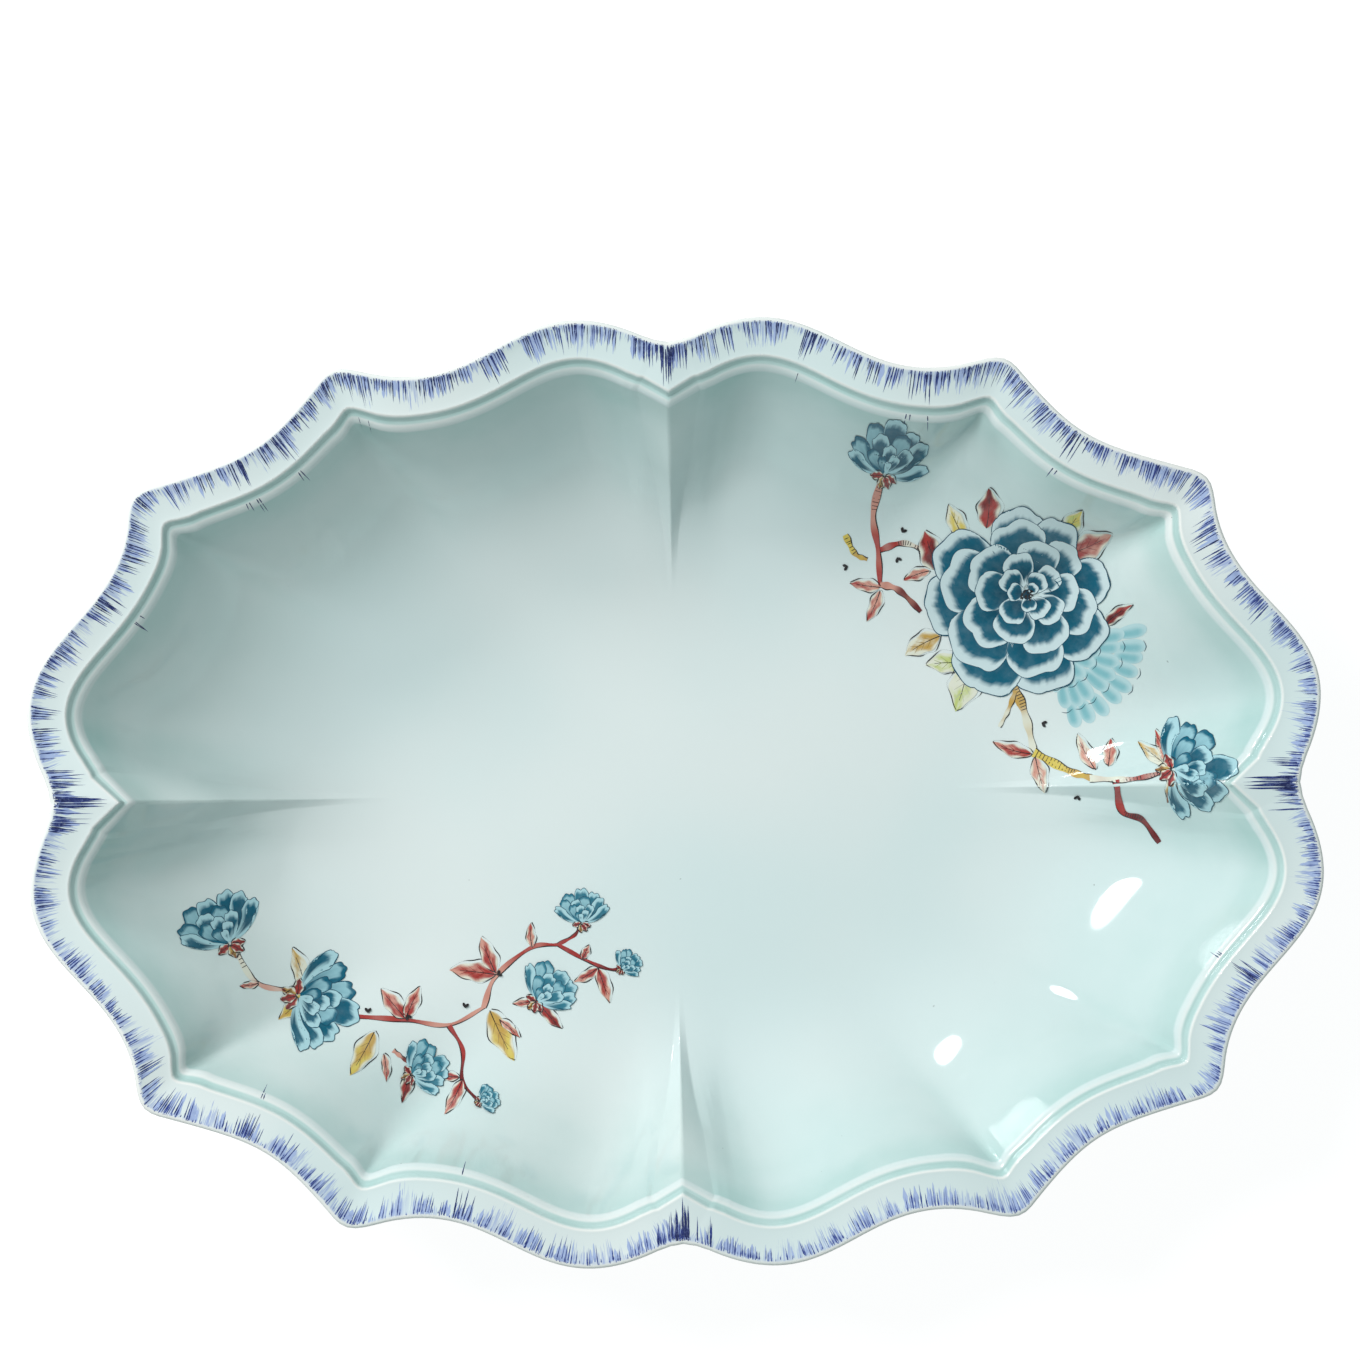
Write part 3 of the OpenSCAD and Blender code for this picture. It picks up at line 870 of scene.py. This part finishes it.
def peony_spray():
    ink = Print()
    pale_fan(ink, (123, 45), -40)
    twig(ink, [(67.5, 99), (65, 88), (66.5, 77), (67, 65)], 2.0, ROSE, RED, (0.08, 0.3), 1)
    twig(ink, [(67, 66), (73, 64), (80, 57)], 2.0, ROSE, RED_DARK, outline=-1)
    twig(ink, [(67, 77), (75, 79), (84, 75)], 1.8, RED, WASH, (0.4, 0.95), -1)
    twig(ink, [(56, 82), (59, 76), (63, 74)], 1.7, YELLOW, OCHRE, (0.1, 0.5), 1)
    twig(ink, [(108.9, 34), (112.9, 23.4), (115.5, 11.6)], 2.6, OCHRE, WASH, (0.1, 0.45), 1)
    twig(ink, [(110, 31), (107.5, 24.7), (104.6, 19.4)], 1.4, OCHRE, WASH)
    twig(ink, [(115.5, 11), (126.9, 4.7), (134, 2.2)], 2.4, YELLOW, OCHRE, (0.05, 0.6), 1)
    twig(ink, [(133, 2.2), (146, 1.8), (158, 4.4)], 1.7, WASH, RED, (0.45, 0.95), -1)
    twig(ink, [(141, 1.6), (143.1, -8.2), (149.4, -11.2), (154.7, -18.6)],
         1.9, RED, RED_DARK, (0.4, 0.7), -1)
    for base, turn, size, body, tip in [
        ((67, 65), 172, (10, 3.6), ROSE, RED), ((67, 64), -112, (11, 3.6), ROSE, RED),
        ((86, 70), 112, (13.5, 7.5), RED_DARK, RED), ((94, 80), 116, (12, 5.2), YELLOW, WASH),
        ((101, 83), 84, (12.5, 7), RED, RED_DARK), ((125, 78), 62, (11, 6), OLIVE, YELLOW),
        ((127, 74), 22, (14.5, 7.6), RED, ROSE), ((138, 51), 40, (11, 3.4), RED_DARK, RED),
        ((86, 49), 205, (13, 6.4), OCHRE, WASH), ((94, 40), 178, (13, 6.4), OLIVE, WASH),
        ((95, 40), -104, (16, 9), WASH, OLIVE), ((83, 70), 196, (9, 3.4), ROSE, RED),
        ((115, 10.5), 166, (13.5, 4), RED, ROSE), ((116, 9.5), -78, (12, 4.6), ROSE, WASH),
        ((135, 5), 118, (13, 4), ROSE, WASH), ((139, 6), 82, (9, 4), ROSE, RED),
        ((158, 5), 138, (13, 4), WASH, OCHRE), ((157, 6), 102, (12, 3), ROSE, RED),
        ((158, 3), -96, (9, 2.8), OCHRE, RED_DARK),
    ]:
        leaf(ink, base, turn, *size, body, tip, bend=rng.uniform(-24, 24))
    side_flower(ink, (68.5, 100.5), 78, 16.5, opening=72)
    side_flower(ink, (158.5, 4.5), 8, 19, opening=84)
    for place, turn in [
        ((74.3, 82.5), 60), ((72.6, 74.5), -60), ((56.7, 72), 200),
        ((118.3, 20.5), -20), ((129.3, -3), -100),
    ]:
        bird_tick(ink, place, turn)
    ink.layer += 4
    peony(ink, (113.9, 61.8))
    return ink


def blossom_spray():
    ink = Print()
    twig(ink, [(-142.8, -46), (-134.8, -58.6), (-121, -61.6)], 1.6, WASH, ROSE, (0.02, 0.3), 1)
    twig(ink, [(-103, -70), (-87.4, -71.5), (-74.1, -73.3), (-62.6, -67.8)], 1.4, RED, ROSE, outline=-1)
    twig(ink, [(-63, -68), (-58.9, -58), (-47.3, -49), (-38.8, -48.2)], 1.5, ROSE, RED, outline=-1)
    twig(ink, [(-38.8, -48.2), (-33, -45), (-31, -40)], 1.0, RED, RED_DARK, outline=1)
    twig(ink, [(-38.8, -48.2), (-28.4, -54), (-21.5, -56.5), (-17, -55.5)], 1.1, RED, RED_DARK, outline=-1)
    twig(ink, [(-74.1, -73.6), (-69.8, -81.5), (-70, -91), (-65, -97.5)], 1.2, RED, RED_DARK, outline=-1)
    twig(ink, [(-49, -66), (-44, -66)], 1.2, ROSE, RED_DARK)
    twig(ink, [(-92, -81), (-86, -86)], 1.2, ROSE, RED_DARK)
    for base, turn, size, body, tip in [
        ((-120, -61), 104, (14, 5), WASH, OCHRE), ((-116, -58), 70, (9, 3.2), ROSE, RED),
        ((-120, -62), -132, (12, 4.6), YELLOW, OCHRE), ((-134.6, -58.6), 190, (6, 2), ROSE, RED),
        ((-88, -71), 130, (12.5, 5), RED, ROSE), ((-88, -71), 66, (11, 4), RED, ROSE),
        ((-59, -57.5), 172, (15, 6), RED, ROSE), ((-59, -57), 112, (12.5, 4.6), RED, ROSE),
        ((-98, -75), -118, (15.5, 6), OCHRE, YELLOW), ((-61, -69), -66, (18, 7), OCHRE, YELLOW),
        ((-26, -56), -72, (12, 3.8), RED, ROSE), ((-26, -56), 212, (9, 3), RED, ROSE),
        ((-70, -91), -116, (12, 3.8), RED, ROSE), ((-71, -90), 176, (8, 2.6), RED, ROSE),
        ((-45, -67), -52, (11, 3.4), RED, RED_DARK), ((-45, -66), 188, (9, 2.6), RED, ROSE),
        ((-87, -87), -100, (11, 3.4), RED, RED_DARK), ((-95, -82), -82, (9, 2.4), ROSE, RED),
        ((-47, -49), 96, (8, 2.6), ROSE, RED), ((-31, -53), 62, (5, 2.4), RED, ROSE),
        ((-58, -72), -40, (9, 2.4), ROSE, RED),
    ]:
        leaf(ink, base, turn, *size, body, tip, bend=rng.uniform(-24, 24))
    side_flower(ink, (-143.5, -46), 122, 17.5)
    side_flower(ink, (-122.5, -63), -18, 20, opening=66)
    side_flower(ink, (-31, -41.5), 92, 11, soft=0.3)
    side_flower(ink, (-18.5, -56.5), 40, 7, soft=0.3)
    side_flower(ink, (-46, -66.5), 48, 13.5, soft=0.4)
    side_flower(ink, (-86.5, -89), 26, 12.5, soft=0.4)
    side_flower(ink, (-64.5, -98), 22, 6.5, soft=0.4)
    for place, turn in [((-100.1, -69), 90), ((-69, -68), 80), ((-87.6, -70), -60), ((-58.5, -57.6), 30)]:
        bird_tick(ink, place, turn)
    return ink


# -------------------------------------------------------------- cobalt strokes

NAVY = np.array(srgb(26, 34, 82))
COBALT = np.array(srgb(50, 66, 138))
COBALT_THIN = np.array(srgb(166, 183, 220))

BRUSH_LOADS = 185
FRINGE_HAIRS = 620
PLEAT_HAIRS = 10
# Places round the lip, in arcs, where a few strokes run right across the band
LONG_STROKES = np.array([2.6, 2.2, 3.95, 4.35, 4.6, 5.3, 1.55, 11.35, 8.3, 7.4])


class RimMap:
    """Points on the painted rim from u (arcs round the lip) and d (mm inwards)."""

    def __init__(self, tree):
        self.tree = tree
        self.around = np.arange(COLS + 1) / COLS_PER_ARC
        along_axis = np.exp(-(from_pleat(U) / 0.15) ** 2)[:, None]
        step = MITRE + along_axis * (pleat_axis(U) - MITRE)
        self.lip = np.concatenate([LIP, LIP[:1]])
        self.mitre = np.concatenate([step, step[:1]])
        lengths = np.linalg.norm(np.diff(self.lip, axis=0), axis=1)
        self.run = np.concatenate([[0], np.cumsum(lengths)])
        self.rate = np.append(lengths, lengths[0]) * COLS_PER_ARC

    def place(self, share):
        """The u that lies at a share (0 to 1) of the way round the lip by length."""
        return np.interp(np.mod(share, 1) * self.run[-1], self.run, self.around)

    def speed(self, u):
        """Millimetres of lip for one arc of u."""
        return np.interp(np.mod(u, ARCS), self.around, self.rate)

    def __call__(self, u, d, lift):
        w = np.mod(u, ARCS)
        x, y = (
            np.interp(w, self.around, self.lip[:, k]) + d * np.interp(w, self.around, self.mitre[:, k])
            for k in (0, 1)
        )
        starts = (Vector((a, b, ABOVE)) for a, b in zip(x.ravel(), y.ravel()))
        z = [self.tree.ray_cast(start, DOWN)[0].z for start in starts]
        return np.stack([x, y, np.reshape(z, x.shape) + lift], -1)


def brush_strokes(rim, u, d0, length, width, tone, slant, lift):
    """Tapering strokes, one for each entry of the arrays: points, colours and quads."""
    t = np.linspace(0, 1, 8)
    u, d0, length, width, tone, slant, lift = (
        np.broadcast_to(v, u.shape)[:, None] for v in (u, d0, length, width, tone, slant, lift)
    )
    arc_mm = rim.speed(u)
    d = d0 + length * t
    centre = u + slant * length * t / arc_mm
    taper = np.clip(1.0 - t ** 3, 0.05, 1) * np.clip(0.6 + 3 * t, 0, 1)
    half = width / 2 / arc_mm * taper * (0.8 + 0.2 * np.sin(11 * t + 37 * u))
    points = np.stack([rim(centre - half, d, lift), rim(centre + half, d, lift)], 2)
    fade = np.clip(tone - 0.35 * t ** 1.5 + 0.08 * np.sin(9 * t + 61 * u), 0, 1)[..., None]
    wet = COBALT + (fade - 0.5) * 2 * (NAVY - COBALT)
    thin = COBALT_THIN + fade * 2 * (COBALT - COBALT_THIN)
    paint = np.where(fade > 0.5, wet, thin)
    colours = np.repeat(paint[:, :, None], 2, axis=2)
    first = 16 * np.arange(len(u))[:, None] + 2 * np.arange(7)[None, :]
    quads = np.stack([first, first + 2, first + 3, first + 1], -1).reshape(-1, 4)
    return points.reshape(-1, 3), colours.reshape(-1, 3), quads


def cobalt_strokes(rim):
    """Brush loads of parallel hairs over a wash, a short fringe, and a bundle at each pleat."""
    phase = rng.uniform(0, 2 * pi, 8)

    def waves(u, rates):
        return sum(np.sin(f * 2 * pi * u / ARCS + p) for f, p in zip(rates, phase)) / len(rates)

    def boldness(u):
        """Longer, darker strokes along the top and the left."""
        return 0.74 + 0.26 * np.cos(2 * pi * u / ARCS - radians(120))

    def start(u):
        return 1.15 + 0.3 * waves(u, (3, 7, 12)) + rng.uniform(-0.1, 0.9, len(u)) ** 2

    n = BRUSH_LOADS
    load = rim.place((np.arange(n) + rng.uniform(-0.35, 0.35, n)) / n)
    accent = np.exp(-(from_pleat(load) / 0.06) ** 2) + 0.6 * np.exp(-(from_tip(load) / 0.12) ** 2)
    force = boldness(load) * (0.55 + 0.55 * waves(load, (5, 9, 14, 23)) + 0.3 * accent)
    force = np.clip(force + rng.uniform(-0.2, 0.3, n), 0.12, 1)
    reach = 3.8 + 6.8 * force
    breadth = rng.uniform(3.0, 7.5, n)
    slant = 0.08 * np.sin(3 * load + phase[5]) + rng.uniform(-0.05, 0.05, n)
    parts = [
        brush_strokes(
            rim, load + (k * breadth / 4 + rng.uniform(-0.4, 0.4, n)) / rim.speed(load), start(load) + 0.3,
            reach * rng.uniform(0.45, 0.95, n), breadth * rng.uniform(0.12, 0.4, n),
            rng.uniform(0.0, 0.16, n), slant, 0.02 + 0.002 * k,
        )
        for k in (-1, 0, 1)
    ]
    for k in range(-4, 5):
        hair = (abs(k) * 0.85 < breadth / 2) & (rng.random(n) < 0.82)
        m = int(hair.sum())
        u = load[hair] + (k * 0.85 + rng.uniform(-0.25, 0.25, m)) / rim.speed(load[hair])
        parts.append(brush_strokes(
            rim, u, start(u), reach[hair] * rng.uniform(0.5, 1.05, m),
            rng.uniform(0.3, 0.62, m), boldness(u) * rng.uniform(0.7, 1.3, m),
            slant[hair] + rng.uniform(-0.02, 0.02, m), 0.03 + 0.002 * (k + 5),
        ))
    n = FRINGE_HAIRS
    u = rim.place((np.arange(n) + rng.uniform(-0.4, 0.4, n)) / n)
    parts.append(brush_strokes(
        rim, u, start(u), rng.uniform(0.8, 3.4, n) * boldness(u), rng.uniform(0.24, 0.5, n),
        boldness(u) * rng.uniform(0.3, 1.1, n), rng.uniform(-0.08, 0.08, n), 0.03,
    ))
    u = np.repeat(LONG_STROKES, 4) + rng.uniform(-0.03, 0.03, 4 * len(LONG_STROKES))
    n = len(u)
    parts.append(brush_strokes(
        rim, u, 1.3, rng.uniform(8.0, 10.4, n), rng.uniform(0.3, 0.6, n),
        1.0, rng.uniform(-0.03, 0.03, n), 0.05,
    ))
    over = rng.random(n) < 0.5
    parts.append(brush_strokes(
        rim, u[over], BEAD - 1.6, rng.uniform(1.5, 5.0, n)[over], 0.34,
        1.0, rng.uniform(-0.1, 0.1, n)[over], 0.05,
    ))
    n = PLEAT_HAIRS
    for pleat, room in [(0, 1.4), (3, 1.0), (6, 1.4), (9, 1.0)]:
        core = pleat + rng.uniform(-0.014, 0.014, n)
        parts.append(brush_strokes(
            rim, core, rng.uniform(1.2, 3.0, n), rng.uniform(8.5, 12.0, n) * room,
            rng.uniform(0.35, 0.9, n), 1.0, rng.uniform(-0.01, 0.01, n), 0.055,
        ))
        flank = pleat + rng.uniform(-0.06, 0.06, 2 * n)
        parts.append(brush_strokes(
            rim, flank, rng.uniform(1.2, 2.4, 2 * n), rng.uniform(4.0, 9.0, 2 * n) * room,
            rng.uniform(0.25, 0.6, 2 * n), rng.uniform(0.7, 1.0, 2 * n),
            rng.uniform(-0.02, 0.02, 2 * n), 0.045,
        ))
    return parts


def build_strokes(tree):
    """All the cobalt strokes as one mesh piece with its own glossy paint."""
    points, colours, quads, count = [], [], [], 0
    for p, c, q in cobalt_strokes(RimMap(tree)):
        points.append(p)
        colours.append(c)
        quads.append(q + count)
        count += len(p)
    points, quads = np.concatenate(points), np.concatenate(quads)
    c = points[quads]
    turn = np.cross(c[:, 1] - c[:, 0], c[:, 3] - c[:, 0])[:, 2]
    quads = np.where((turn < 0)[:, None], quads[:, ::-1], quads)
    n = Nodes("cobalt_brushwork")
    place = n.object_place()
    dry = n.ramp(n.noise(place, 900.0, 3.0, 0.7), 0.45, 0.75, 0.0, 0.3)
    ink = n.attribute("ink").outputs["Color"]
    n.feed(n.shader.inputs["Base Color"], n.mix(dry, ink, srgb(150, 168, 218)))
    n.feed(n.shader.inputs["Roughness"], n.ramp(n.noise(place, 60.0), 0.3, 0.7, 0.05, 0.1))
    n.shader.inputs["IOR"].default_value = GLAZE_IOR
    n.bump(n.noise(place, 16.0, 2.0, 0.4), 0.0009, 0.35)
    strokes = mesh_piece(
        "cobalt_rim_strokes", points, quads.tolist(), n.material, {"ink": np.concatenate(colours)},
    )


# ----------------------------------------------------------------- studio stage

def build_stage():
    half = 4.0
    corners = [(-half, -half, 0), (half, -half, 0), (half, half, 0), (-half, half, 0)]
    floor = bpy.data.meshes.new("studio_floor")
    floor.from_pydata(corners, [], [[0, 1, 2, 3]])
    ob = bpy.data.objects.new("studio_floor", floor)
    bpy.context.scene.collection.objects.link(ob)
    n = Nodes("pale_studio_floor")
    place = n.object_place()
    grey = n.mix(n.noise(place, 3.0), (0.20, 0.20, 0.20), (0.24, 0.24, 0.24))
    n.feed(n.shader.inputs["Base Color"], grey)
    n.shader.inputs["Roughness"].default_value = 0.9
    n.shader.inputs["Emission Color"].default_value = (1, 1, 1, 1)
    n.shader.inputs["Emission Strength"].default_value = 0.90
    floor.materials.append(n.material)
    ob.visible_diffuse = False


def area_light(name, place, aim, size, power):
    """A round soft lamp, size metres across, turned towards a point."""
    light = bpy.data.lights.new(name, "AREA")
    light.shape = "DISK"
    light.size = size
    light.energy = power
    ob = bpy.data.objects.new(name, light)
    ob.location = place
    ob.rotation_euler = (Vector(aim) - Vector(place)).to_track_quat("-Z", "Y").to_euler()
    bpy.context.scene.collection.objects.link(ob)
    return ob


def build_lights():
    """A soft key that the glaze doesn't mirror, and a smaller lamp for the highlights."""
    middle = (0, 0, 0.03)
    soft = area_light("soft_key", (-0.83, 0.58, 1.45), middle, 0.6, 17.4)
    soft.visible_glossy = False
    area_light("highlight_softbox", (-0.98, 0.98, 0.78), middle, 0.38, 9.3)
    world = bpy.data.worlds.new("studio")
    world.use_nodes = True
    background = world.node_tree.nodes["Background"]
    background.inputs["Color"].default_value = (0.835, 0.985, 0.98, 1)
    background.inputs["Strength"].default_value = 0.385
    bpy.context.scene.world = world


def build_camera():
    """Straight above the bowl on a long lens, turned by one degree."""
    camera = bpy.data.cameras.new("camera")
    width = 0.4296
    distance = 3.0
    camera.sensor_width = 36
    camera.lens = camera.sensor_width * distance / width
    camera.shift_x = 0.0033
    camera.shift_y = 0.083
    ob = bpy.data.objects.new("camera", camera)
    ob.location = (0, 0, 0.07 + distance)
    ob.rotation_euler = (0, 0, radians(-1.0))
    bpy.context.scene.collection.objects.link(ob)
    bpy.context.scene.camera = ob
    bpy.context.scene.view_settings.view_transform = "Standard"


build_camera()
build_lights()
build_stage()
surface_tree = build_bowl()
build_foot()
build_strokes(surface_tree)
peony_piece = peony_spray().lay("peony_print", surface_tree, print_material("peony_enamel"))
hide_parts("peony_spray_transfer")
blossom_piece = blossom_spray().lay("blossom_print", surface_tree, print_material("blossom_enamel"))
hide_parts("blossom_spray_transfer")
